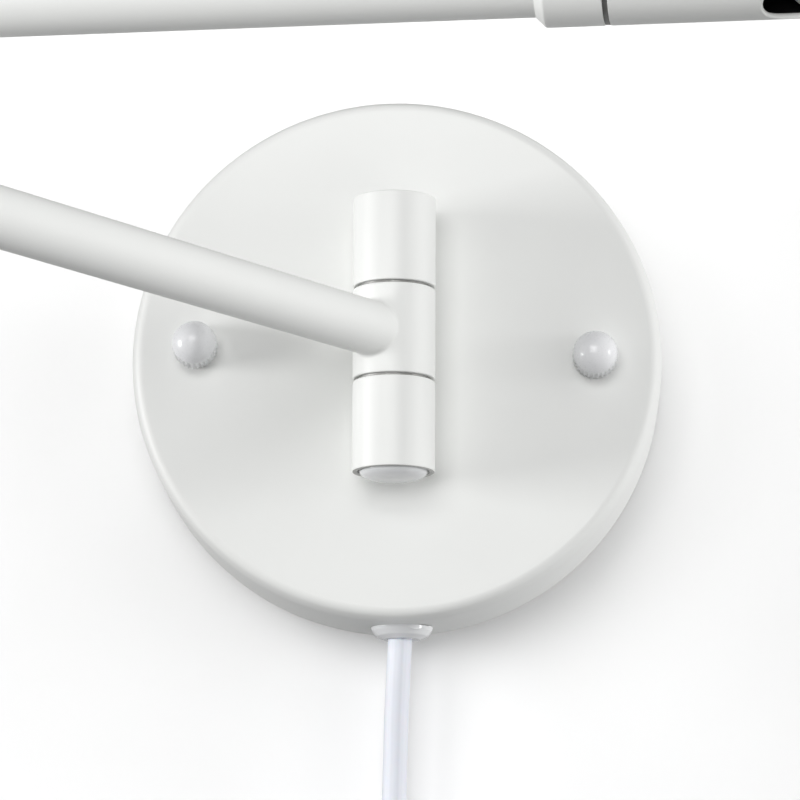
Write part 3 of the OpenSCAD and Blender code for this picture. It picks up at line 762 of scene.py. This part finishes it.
# Live and neutral leads, the CAD model's own routes; the other side is mirrored
LEAD_ROUTES = [
    [(-1.2, -12.5, -43.5), (-1.4, -12.5, -38), (-4, -12.5, -31), (-10, -13, -26),
     (-17, -13.5, -23.5), (-22.5, -13.6, -24), (-24.8, -13.6, -27.5), (-23.4, -13.6, -31),
     (-21.6, -13.6, -33.6)],
    [(-21.6, -11.4, -33.6), (-23.6, -11.4, -30.6), (-26, -11.2, -26.5), (-28, -10, -19),
     (-26, -8.6, -9), (-20, -8.6, 3), (-12, -10.5, 14), (-5, -14, 21.5), (-1.2, -18.5, 24.6),
     (-1.2, -22.5, 24.8)],
]
piece("lead_wires_soft", joined(*[
    tube(smooth_route([(side * x, y, z) for x, y, z in route], 5), 0.9, 12)
    for side in (1, -1) for route in LEAD_ROUTES]), ROW, "lead_wires")


def ribbed(r, z, angle):
    """Grip ribs of a wire nut."""
    return r if r < 3.4 else r - 0.35 * wave(12 * angle) ** 2


wire_nut = lathe(rounded([
    (0, -16, 0), (3.6, -16, 0.9), (4.6, -8, 0), (5.6, 0, 0.4), (4.2, 0, 0.3), (4.2, -13, 0),
    (0, -13, 0)], 5), 96, ribbed)
WIRE_NUT_X, WIRE_NUT_Y, WIRE_NUT_Z, WIRE_NUT_LEAN = 22, -12.5, -33, 35
nut_places = [Matrix.Translation((side * WIRE_NUT_X, WIRE_NUT_Y, WIRE_NUT_Z))
              @ Matrix.Rotation(radians(side * WIRE_NUT_LEAN), 4, "Y") for side in (-1, 1)]
piece("wire_nuts_ribbed", joined(*[moved(wire_nut, at) for at in nut_places]), ROW,
      "wire_nuts", crease=45)


# ---------- cord bush ----------

def bush_part():
    """Bowl-shaped flange that meets the canopy's rim, a neck, and a ribbed relief inside."""
    rim_z = -canopy_r - 0.03
    foot, top, shoulder = -66.2, -62.1, -61.2
    flange_r, neck_r, slack = 7.4, 4.9, 0.02
    outline = rounded([
        (3.0, foot + 0.3, 0), (3.3, foot, 0), (4.4, foot, 0.4), (6.1, foot + 0.8, 0.9),
        (7.1, foot + 2.0, 0.5), (flange_r, foot + 2.8, 0.3), (flange_r, top - 0.2, 0.2),
        (6.4, top, 0), (neck_r, top, 0), (neck_r, shoulder, 0), (6.2, shoulder, 0.3),
        (6.0, -59.4, 0)], 4)
    for k in range(6):
        z, r = -59.2 + 2.5 * k, 5.9 - 0.22 * k
        outline += [(r, z), (r, z + 1.3), (r - 0.5, z + 1.5), (r - 0.5, z + 2.3)]
    outline += [(4.5, -43.4), (4.2, -43.2), (3.0, -43.2)]
    vertices, faces = lathe(outline, 96)
    fitted = []
    for x, y, z in vertices:
        r = hypot(x, y)
        if top - 0.8 < z < shoulder - 0.1 and r > neck_r - 0.1:
            # the flange's top edge follows the rim, and stands a little off it at one side
            across = bush_at.x / MM + x
            seat = -sqrt(rim_z * rim_z - across * across)
            lift = exp(-((atan2(y, x) + 1.05) / 0.3) ** 2) * (r > 7.0)
            z = seat - slack - lift + (z - top) * 0.5
        fitted.append((x + (cord_x - bush_at.x / MM) * (r < 4.0), y, z))
    return fitted, faces


piece("cord_bush_moulded", bush_part(), BUSH, "cord_grommet", crease=45)


# ---------- pivot barrel and elbow ----------

EDGE_R = 0.35
CUP_R, CUP_DEPTH = 8.45, 8.5


def segment_outline(low, high, cup_at_top):
    """Half section of a barrel segment with a nut recess at one end, closed on the axis."""
    far, near = (high, low) if cup_at_top else (low, high)
    step = -1 if cup_at_top else 1
    return rounded([
        (0, near, 0), (barrel_r, near, EDGE_R), (barrel_r, (near + far) / 2, 0),
        (barrel_r, far, 0.3), (CUP_R, far, 0.2), (CUP_R, far + step * CUP_DEPTH, 0),
        (0, far + step * CUP_DEPTH, 0)], 5)


def on_rim(low):
    """The bare machined ring at a barrel's lower mouth."""
    return lambda c, n: c.z < low + 0.3 and hypot(c.x, c.y) < barrel_r - 0.1


piece("barrel_top_turned", lathe(segment_outline(barrel_low, barrel_high, True)), BARREL,
      "barrel_top")
piece("barrel_bottom_turned", lathe(segment_outline(bottom_low, bottom_high, False)), BARREL,
      "barrel_bottom", other=(MACHINED, on_rim(bottom_low)))


FLATNESS = 0.75  # 1 makes a cap's dome an ellipse, and less is flatter in its middle


def cap(name, where, face, bulge, way, node, skirt):
    """A domed cap in a recess: face is the recess's mouth, way is +1 where it bulges up."""
    rim = CUP_R - 0.4
    rise = bulge + 0.6
    edge = face - way * 0.6
    turns = [radians(4 * k) for k in range(22)]
    dome = [(rim * sin(a) ** FLATNESS, edge + way * rise * cos(a) ** FLATNESS) for a in turns]
    outline = dome + [(rim - 0.03, edge - way * 0.12), (rim, edge - way * 0.35),
                      (rim, edge - way * skirt), (0, edge - way * skirt)]
    piece(name, lathe(outline), where, node)


cap("cap_bottom_moulded", BARREL, bottom_low, 2.0, -1, "barrel_cap_bottom", 2.2)
cap("cap_top_moulded", BARREL, barrel_high, 0.8, 1, "barrel_cap_top", 2.2)


def knuckle(half, neck_r, neck_end, cup, fillet=0.9):
    """A barrel segment about z with a neck along +x that grows out of it through a fillet.
    cup is +1 or -1 for a nut recess at the top or bottom end, and 0 for none."""
    turns, window, rows, between, curve = 96, 32, 16, 5, 7
    wall = half - EDGE_R

    def on_barrel(phi, z):
        return (barrel_r * cos(phi), barrel_r * sin(phi), z)

    def phi_of(k):
        return radians(360 * k / turns - 60)

    border = ([(k, 0) for k in range(window)] + [(window, j) for j in range(rows)]
              + [(window - k, rows) for k in range(window)] + [(0, rows - j) for j in range(rows)])
    rings = [[] for _ in range(between + curve + 2)]
    big, small = barrel_r + fillet, neck_r + fillet
    for k, j in border:
        phi, z = phi_of(k), wall * (1 - 2 * j / rows)
        theta = atan2(z, barrel_r * phi)
        y, cz = small * cos(theta), small * sin(theta)
        cx = sqrt(big * big - y * y)
        foot = asin(y / big)
        for i in range(between):
            t = (i / between) ** 0.7
            rings[i].append(on_barrel(phi + (foot - phi) * t, z + (cz - z) * t))
        # the fillet, from the barrel over to the neck about the rolling ball's centre
        to_barrel = Vector((-cx, -y, 0)) * (fillet / big)
        to_neck = Vector((0, -cos(theta), -sin(theta))) * fillet
        swing = to_barrel.angle(to_neck)
        for i in range(curve + 1):
            t = i / curve
            arm = to_barrel * sin((1 - t) * swing) + to_neck * sin(t * swing)
            rings[between + i].append(tuple(Vector((cx, y, cz)) + arm / sin(swing)))
        rings[-1].append((neck_end, neck_r * cos(theta), neck_r * sin(theta)))
    for far in (neck_end, neck_end + 3):
        rings.append([(far, y * 0.83, z * 0.83) for _, y, z in rings[between + curve + 1]])
    neck = capped(skin(rings), len(border), first=False)
    rest = skin([[on_barrel(phi_of(k), wall * (1 - 2 * j / rows))
                  for k in range(window, turns + 1)] for j in range(rows + 1)], close_rings=False)

    def end(way):
        """Eased edge, end face and mouth at one end, closed below the mouth."""
        at = way * half
        inner, deep = (CUP_R, CUP_DEPTH) if cup == way else (6.4, 3)
        outline = arc(barrel_r - EDGE_R, at - way * EDGE_R, EDGE_R, 0, 90 * way, 5)
        outline += [(inner + 0.2, at), (inner, at - way * 0.2), (inner, at - way * deep)]
        loops = [[(r * cos(phi_of(k)), r * sin(phi_of(k)), z) for k in range(turns)]
                 for r, z in outline]
        return capped(skin(loops), turns, first=False)
    return joined(neck, rest, end(1), end(-1))


tube_start, tube_end, tube_r = reach("lower_tube", LOWER)
piece("arm_hub_cast", knuckle(half_segment, tube_r, tube_start, 0), HUB, "arm_hub", crease=42)
piece("elbow_lower_cast", knuckle(half_segment, tube_r, tube_start, -1), ELBOW_LOW,
      "elbow_lower", crease=42, other=(MACHINED, on_rim(-half_segment)))
piece("elbow_upper_cast", knuckle(half_segment, tube_r, tube_start, 1), ELBOW_HIGH,
      "elbow_upper", crease=42)
cap("elbow_cap_bottom_moulded", ELBOW_LOW, -half_segment, 2.0, -1, "elbow_cap_bottom", 0.6)
cap("elbow_cap_top_moulded", ELBOW_HIGH, half_segment, 0.8, 1, "elbow_cap_top", 1.8)


# ---------- arms ----------

def pipe(low, high, outer, inner):
    """A tube that meets the parts at its ends without a visible seam."""
    return lathe([(outer, low), (outer, (low + high) / 2), (outer, high), (inner, high),
                  (inner, low)])


piece("lower_tube_drawn", pipe(tube_start, tube_end, tube_r, tube_r - 1), LOWER, "lower_tube")
upper_start, upper_end, upper_r = reach("upper_tube", UPPER)
piece("upper_tube_drawn", pipe(upper_start, upper_end, upper_r, upper_r - 1), UPPER,
      "upper_tube")
collar_low, collar_high, sleeve_r = reach("tube_collar", UPPER)
piece("tube_collar_turned", lathe(rounded([
    (5.05, collar_low + 3, 0), (upper_r + 0.02, collar_low + 1.5, 0),
    (upper_r + 0.02, collar_low, 0), (upper_r + 0.25, collar_low, 0.1),
    (sleeve_r, collar_low + 1.75, 0.7), (sleeve_r, (collar_low + collar_high) / 2, 0),
    (sleeve_r, collar_high, 0.22), (5.05, collar_high, 0.1)], 6)), UPPER, "tube_collar")


# ---------- swivel ----------

SLEEVE_WALL = 1.1
SLOT_HALF = 4.5
SLOT_BACK = 10.7  # from the tilt axis back to the slot's round end


def slotted_sleeve():
    """The sleeve about z, with a slot towards +x that runs out at its far end."""
    low, high, outer = reach("swivel_sleeve", SWIVEL_ALONG)
    inner, ease, sides = outer - SLEEVE_WALL, 0.35, 96
    centre = SLOT_HALF - SLOT_BACK

    def wrap(r, w, z):
        """Round the sleeve at radius r, from one side of the slot to the other."""
        start = asin(min(1.0, w / r))
        angles = [start + (2 * pi - 2 * start) * k / sides for k in range(sides + 1)]
        return [(r * cos(a), r * sin(a), z) for a in angles]

    def edge(r, w, z, side):
        return (sqrt(r * r - w * w), side * w, z)

    def station(z_wide, wide, z, w, trim=0.0):
        """One closed loop round the sleeve's wall, open at the slot."""
        out, into = outer - trim, inner + trim
        return (wrap(out, wide, z_wide)
                + [edge(out - ease, w, z, -1), edge(into + ease, w, z, -1)]
                + wrap(into, wide, z_wide)[::-1]
                + [edge(into + ease, w, z, 1), edge(out - ease, w, z, 1)])

    loops = []
    wide = SLOT_HALF + ease
    for beta in (pi / 2 * k / 24 for k in range(25)):
        loops.append(station(centre - wide * cos(beta), wide * sin(beta),
                             centre - SLOT_HALF * cos(beta), SLOT_HALF * sin(beta)))
    for z in (centre + 4, high - 3, high - ease):
        loops.append(station(z, wide, z, SLOT_HALF))
    loops.append(station(high, wide + ease, high, wide, ease))
    vertices, faces = skin(loops)
    count = len(loops[0])
    last = len(vertices) - count
    for k in range(sides):
        faces.append((last + k, last + k + 1, last + count - 4 - k, last + count - 3 - k))
    start = centre - wide
    plain = [wrap(r, 0, z)[:-1] for r, z in (
        (outer, start), (outer, (low + start) / 2), (outer, low + 0.22), (outer - 0.07, low + 0.07),
        (outer - 0.22, low), (inner + 0.1, low), (inner, low + 0.1), (inner, start))]
    return joined((vertices, faces), skin(plain))


def painted_shade_bore(c, n):
    """The sleeve's bore, coloured near black as painted shade inside the slot."""
    return hypot(c.x, c.y) < sleeve_r - SLEEVE_WALL + 0.1 and n.x * c.x + n.y * c.y < -0.3


piece("swivel_sleeve_slotted", slotted_sleeve(), SWIVEL_ALONG, "swivel_sleeve",
      other=(SLEEVE_PAINTED_SHADE, painted_shade_bore))

bush_start, bush_end, bush_r = reach("swivel_bush", SWIVEL_ALONG)
sleeve_start = reach("swivel_sleeve", SWIVEL_ALONG)[0]
piece("swivel_bush_turned", lathe(rounded([
    (5.05, bush_start, 0.1), (bush_r, bush_start, 0.08), (bush_r, sleeve_start - 0.05, 0.08),
    (sleeve_r - SLEEVE_WALL - 0.03, sleeve_start - 0.05, 0),
    (sleeve_r - SLEEVE_WALL - 0.03, bush_end, 0.3), (5.05, bush_end, 0.1)], 4)),
    SWIVEL_ALONG, "swivel_bush")

heads = [local_frame(pin, tilt_axis * side, arm_axis) for side in (-1, 1)]
piece("tilt_screws_turned", joined(*[
    moved(socket_screw(1.95, 2.3, 3.2, sleeve_r + 0.1, sleeve_r + 1.6), SWIVEL.inverted() @ at)
    for at in heads]), SWIVEL, "tilt_screws")


# ---------- lamp head ----------

BALL_R, BALL_FLAT, NECK_R = 7.1, 4.0, 4.0
cup_low, cup_high, cup_r = reach("socket_cup", HEAD)
holder_low, holder_high, _ = reach("lamp_holder", HEAD)
shade_low, shade_high, shade_r = reach("shade", HEAD)
ring_low, ring_high, ring_r = reach("shade_ring", HEAD)

neck_start = degrees(acos(NECK_R / BALL_R))
neck_outline = [(0, -BALL_R)] + arc(0, 0, BALL_R, -86, neck_start - 5, 40)
neck_outline += [(NECK_R + 0.12, 6.2), (NECK_R, 6.8), (NECK_R, 14)]
neck_outline += rounded([
    (NECK_R, cup_low - 3, 0), (7, cup_low - 3, 0.4), (7, cup_low, 0.1), (NECK_R, cup_low, 0),
    (NECK_R, cup_low + 6, 0.2), (0, cup_low + 6, 0)], 4)
neck_vertices, neck_faces = lathe(neck_outline, 128)
neck_vertices = [(x, max(-BALL_FLAT, min(BALL_FLAT, y)) if z < 7 else y, z)
                 for x, y, z in neck_vertices]
piece("head_neck_turned", (neck_vertices, neck_faces), HEAD, "head_neck", crease=30)

cup = piece("socket_cup_spun", lathe(rounded([
    (NECK_R + 0.1, cup_low, 0), (cup_r, cup_low, 6), (cup_r, cup_high - 5.2, 0),
    (cup_r, cup_high - 4.6, 0.1), (cup_r - 0.45, cup_high - 4.3, 0.15),
    (cup_r - 0.45, cup_high - 3.5, 0.15), (cup_r, cup_high - 3.2, 0.1), (cup_r, cup_high, 0.4),
    (cup_r - 1, cup_high, 0.4), (cup_r - 1, cup_low + 1, 5), (NECK_R + 0.1, cup_low + 1, 0)],
    10), 120), HEAD, "socket_cup")
drilled(cup, [(KNOB, 2.5, 10, 40)])

HOLDER_R, FLANGE_R, SHELL_R = 15.5, 19.7, 13.6
HOLDER_PITCH = 2.5
holder_outline = rounded([
    (0, holder_low, 0), (HOLDER_R, holder_low, 1), (HOLDER_R, shade_low - 4, 0),
    (FLANGE_R, shade_low - 4, 0.4), (FLANGE_R, shade_low, 0.3), (HOLDER_R, shade_low, 0)], 4)
holder_outline += rod(HOLDER_R, shade_low + 0.5, holder_high - 0.6, HOLDER_PITCH)
holder_outline += [(HOLDER_R - 0.5, holder_high), (SHELL_R + 0.4, holder_high),
                   (SHELL_R, holder_high - 0.4), (SHELL_R, holder_low + 8), (0, holder_low + 8)]
piece("lamp_holder_moulded", lathe(holder_outline, 96, threaded(
    HOLDER_PITCH, 0.5, shade_low + 0.6, holder_high - 0.6, SHELL_R + 0.5)), HEAD, "lamp_holder")

shell_low, shell_high, shell_r = reach("screw_shell", HEAD)
LAMP_PITCH = 3.63
shell_side = rod(shell_r, shell_low, shell_high, LAMP_PITCH)
shell_outline = shell_side + [(r - 0.35, z) for r, z in reversed(shell_side)]
piece("screw_shell_rolled", lathe(shell_outline, 96, threaded(LAMP_PITCH, 0.6)), HEAD,
      "screw_shell", crease=60)
contact_low, contact_high, contact_r = reach("centre_contact", HEAD)
piece("centre_contact_domed", lathe(rounded([
    (0, contact_low, 0), (contact_r, contact_low, 0.2), (contact_r, contact_low + 0.9, 0.3),
    (2.2, contact_low + 1.2, 0.5), (1.5, contact_high, 0.4), (0, contact_high, 0)], 5), 48),
    HEAD, "centre_contact")

BEAD = 1.0
SHADE_WALL = 1.0
cone_foot = 25.0  # where the cone's line meets the shade's flat top
slope = (shade_r - cone_foot) / (shade_high - shade_low)
shade_outline = rounded([
    (15.7, shade_low, 0.2), (cone_foot, shade_low, 6),
    (shade_r - 1.5 * BEAD, shade_high - 1.5 * BEAD / slope * 0.9, 0)], 12)
# a bead rolled outwards round the mouth
shade_outline += arc(shade_r - BEAD, shade_high - BEAD - 0.3, BEAD, -50, 160, 18)
shade_outline += rounded([
    (shade_r - 2.6 * BEAD, shade_high - 2.6 * BEAD / slope * 0.75, 0),
    (cone_foot - SHADE_WALL * 0.7, shade_low + SHADE_WALL, 5),
    (15.7, shade_low + SHADE_WALL, 0.2)], 12)[1:]
piece("shade_spun", lathe(shade_outline, 180), HEAD, "shade",
      other=(INNER_WHITE, lambda c, n: n.x * c.x + n.y * c.y < 0 or n.z > 0.6))


def gripped(r, z, angle):
    """Grip ribs round the shade ring."""
    return r - 0.5 * wave(36 * angle) ** 2 if r > 17.6 else r


piece("shade_ring_ribbed", lathe(rounded([
    (15.6, ring_low, 0.2), (ring_r, ring_low, 0.3), (ring_r, ring_high - 0.8, 0.5),
    (17.4, ring_high, 0.4), (15.6, ring_high, 0.3)], 4), 216, gripped), HEAD, "shade_ring",
    crease=45)

KNOB_FLUTES, FLUTES_AT = 12, 5.6


def fluted(r, z, angle):
    """Round flutes along the knob's side, 1 mm in radius."""
    off = off_middle(angle, KNOB_FLUTES)
    sideways = FLUTES_AT * sin(off)
    if r < 3.8 or abs(sideways) > 1.0:
        return r
    return min(r, FLUTES_AT * cos(off) - sqrt(1.0 - sideways * sideways))


knob_low, knob_high, knob_r = reach("switch_knob", KNOB)
piece("switch_knob_fluted", lathe(rounded([
    (0, knob_low, 0), (1.5, knob_low, 0), (1.5, 23, 0.2), (knob_r, 23, 0.4),
    (knob_r, knob_high - 1.4, 0), (knob_r, knob_high - 0.8, 0.5), (4.2, knob_high, 0.6),
    (3.2, knob_high, 0.2), (2.6, knob_high - 0.4, 0.4), (0, knob_high - 0.5, 0)], 5), 240, fluted),
    KNOB, "switch_knob", crease=40)


# ---------- CAD nodes that stay ----------

for name, node in frame["nodes"].items():
    if not node.hide_render:
        node.data.materials.clear()
        node.data.materials.append(MATERIALS[SLOT_OF[name]])
bar = frame["nodes"]["mounting_bar"]
merge = bar.modifiers.new("merge_flats", "DECIMATE")
merge.decimate_type, merge.angle_limit = "DISSOLVE", radians(1)
soften = bar.modifiers.new("soften_edges", "BEVEL")
soften.width, soften.segments, soften.angle_limit = 0.2 * MM, 2, radians(35)


# ---------- stage and light ----------

def stage_plane(name, corners, material):
    mesh = bpy.data.meshes.new(name)
    mesh.from_pydata(corners, [], [(0, 1, 2, 3)])
    mesh.materials.append(material)
    plane = added(name, mesh)
    # it only catches shadows: it neither blocks nor bounces light on the object
    plane.visible_shadow = plane.visible_diffuse = plane.visible_glossy = False
    return plane


def one_sided(name, grey):
    """A matt pale grey that only its front shows."""
    s = Shader(name, Roughness=0.9)
    s.tones(s.noise(3, 2), (grey, grey, grey), 0.995)
    back = s.node("ShaderNodeNewGeometry").outputs["Backfacing"]
    clear = s.node("ShaderNodeBsdfTransparent")
    mix = s.node("ShaderNodeMixShader", {0: back, 1: s.principled.outputs[0],
                                         2: clear.outputs[0]})
    s.tree.links.new(mix.outputs[0], s.tree.nodes["Material Output"].inputs[0])
    return s.material


WALL_SIZE = 1.6
WALL_Y = 0.0006
FLOOR_Z = -0.6
stage = [
    stage_plane("wall", [
        (-WALL_SIZE, WALL_Y, FLOOR_Z), (WALL_SIZE, WALL_Y, FLOOR_Z),
        (WALL_SIZE, WALL_Y, WALL_SIZE), (-WALL_SIZE, WALL_Y, WALL_SIZE)],
        one_sided("matt_wall", 0.97)),
    stage_plane("floor", [
        (-4, -4, FLOOR_Z), (4, -4, FLOOR_Z), (4, 4, FLOOR_Z), (-4, 4, FLOOR_Z)],
        one_sided("pale_floor", 0.95)),
]


def softbox(name, at, size, watts, on_stage, aim=(0, -0.03, 0)):
    """A soft light. on_stage: True lights the stage alone, False all but it, None everything."""
    light = bpy.data.lights.new(name, "AREA")
    light.shape, (light.size, light.size_y), light.energy = "RECTANGLE", size, watts
    made = added(name, light)
    made.location = at
    made.rotation_mode = "QUATERNION"
    made.rotation_quaternion = (Vector(aim) - Vector(at)).to_track_quat("-Z", "Y")
    made.visible_camera = False
    if on_stage is not None:
        receivers = bpy.data.collections.new(name + "_receivers")
        for plane in stage:
            receivers.objects.link(plane)
        for entry in receivers.collection_objects:
            entry.light_linking.link_state = "INCLUDE" if on_stage else "EXCLUDE"
        made.light_linking.receiver_collection = receivers


for name, at, size, watts, on_stage in (
        ("front", (-0.2, -1.6, 0.3), (0.9, 0.9), 13.8, None),
        ("key_left", (-1.3, -0.9, 0.3), (0.7, 0.9), 1.1, False),
        ("graze_left", (-1.53, -0.45, -0.06), (0.3, 0.5), 17.6, False),
        ("graze_right", (1.55, -0.45, 0.05), (0.25, 0.35), 3.5, False),
        ("wall_front", (-0.2, -1.6, 0.3), (0.9, 0.9), 3.6, True),
        ("wall_left", (-1.0, -1.2, 0.3), (0.7, 0.9), 7.4, True),
        ("wall_top", (0.0, -1.2, 1.1), (1.0, 0.7), 3.2, True),
        ("wall_right", (1.2, -1.0, 0.2), (0.6, 0.8), 1.2, True),
        ("wall_far_left", (-1.55, -0.45, 0.1), (0.3, 0.5), 4.3, True),
        ("wall_far_right", (1.55, -0.45, 0.05), (0.25, 0.35), 1.4, True)):
    softbox(name, at, size, watts, on_stage)
softbox("floor_fill", (0, 2.0, 2.6), (4, 3), 220, True, aim=(0, 0.5, -0.6))

world = bpy.data.worlds.new("studio")
bpy.context.scene.world = world
world.use_nodes = True
sky = world.node_tree
heading = add_node(sky, "ShaderNodeTexCoord").outputs["Generated"]
split = add_node(sky, "ShaderNodeSeparateXYZ", {0: heading})


def sky_math(operation, a, b):
    return add_node(sky, "ShaderNodeMath", {0: a, 1: b}, operation=operation).outputs[0]


def glow_from(axis, strength):
    """Light that fades from one side of the room to nothing halfway round."""
    return sky_math("MAXIMUM", sky_math("MULTIPLY", split.outputs[axis], strength), 0.0)


# bright from the right, dimmer from behind, a trace from below; the camera sees white
light_in = sky_math("ADD", glow_from("X", 1.1), glow_from("Y", 0.39))
light_in = sky_math("ADD", light_in, glow_from("Z", -0.05))
seen = add_node(sky, "ShaderNodeLightPath").outputs["Is Camera Ray"]
background = sky.nodes["Background"]
background.inputs["Color"].default_value = (1, 1, 1, 1)
sky.links.new(sky_math("MAXIMUM", light_in, seen), background.inputs["Strength"])
bpy.context.scene.view_settings.view_transform = "Standard"
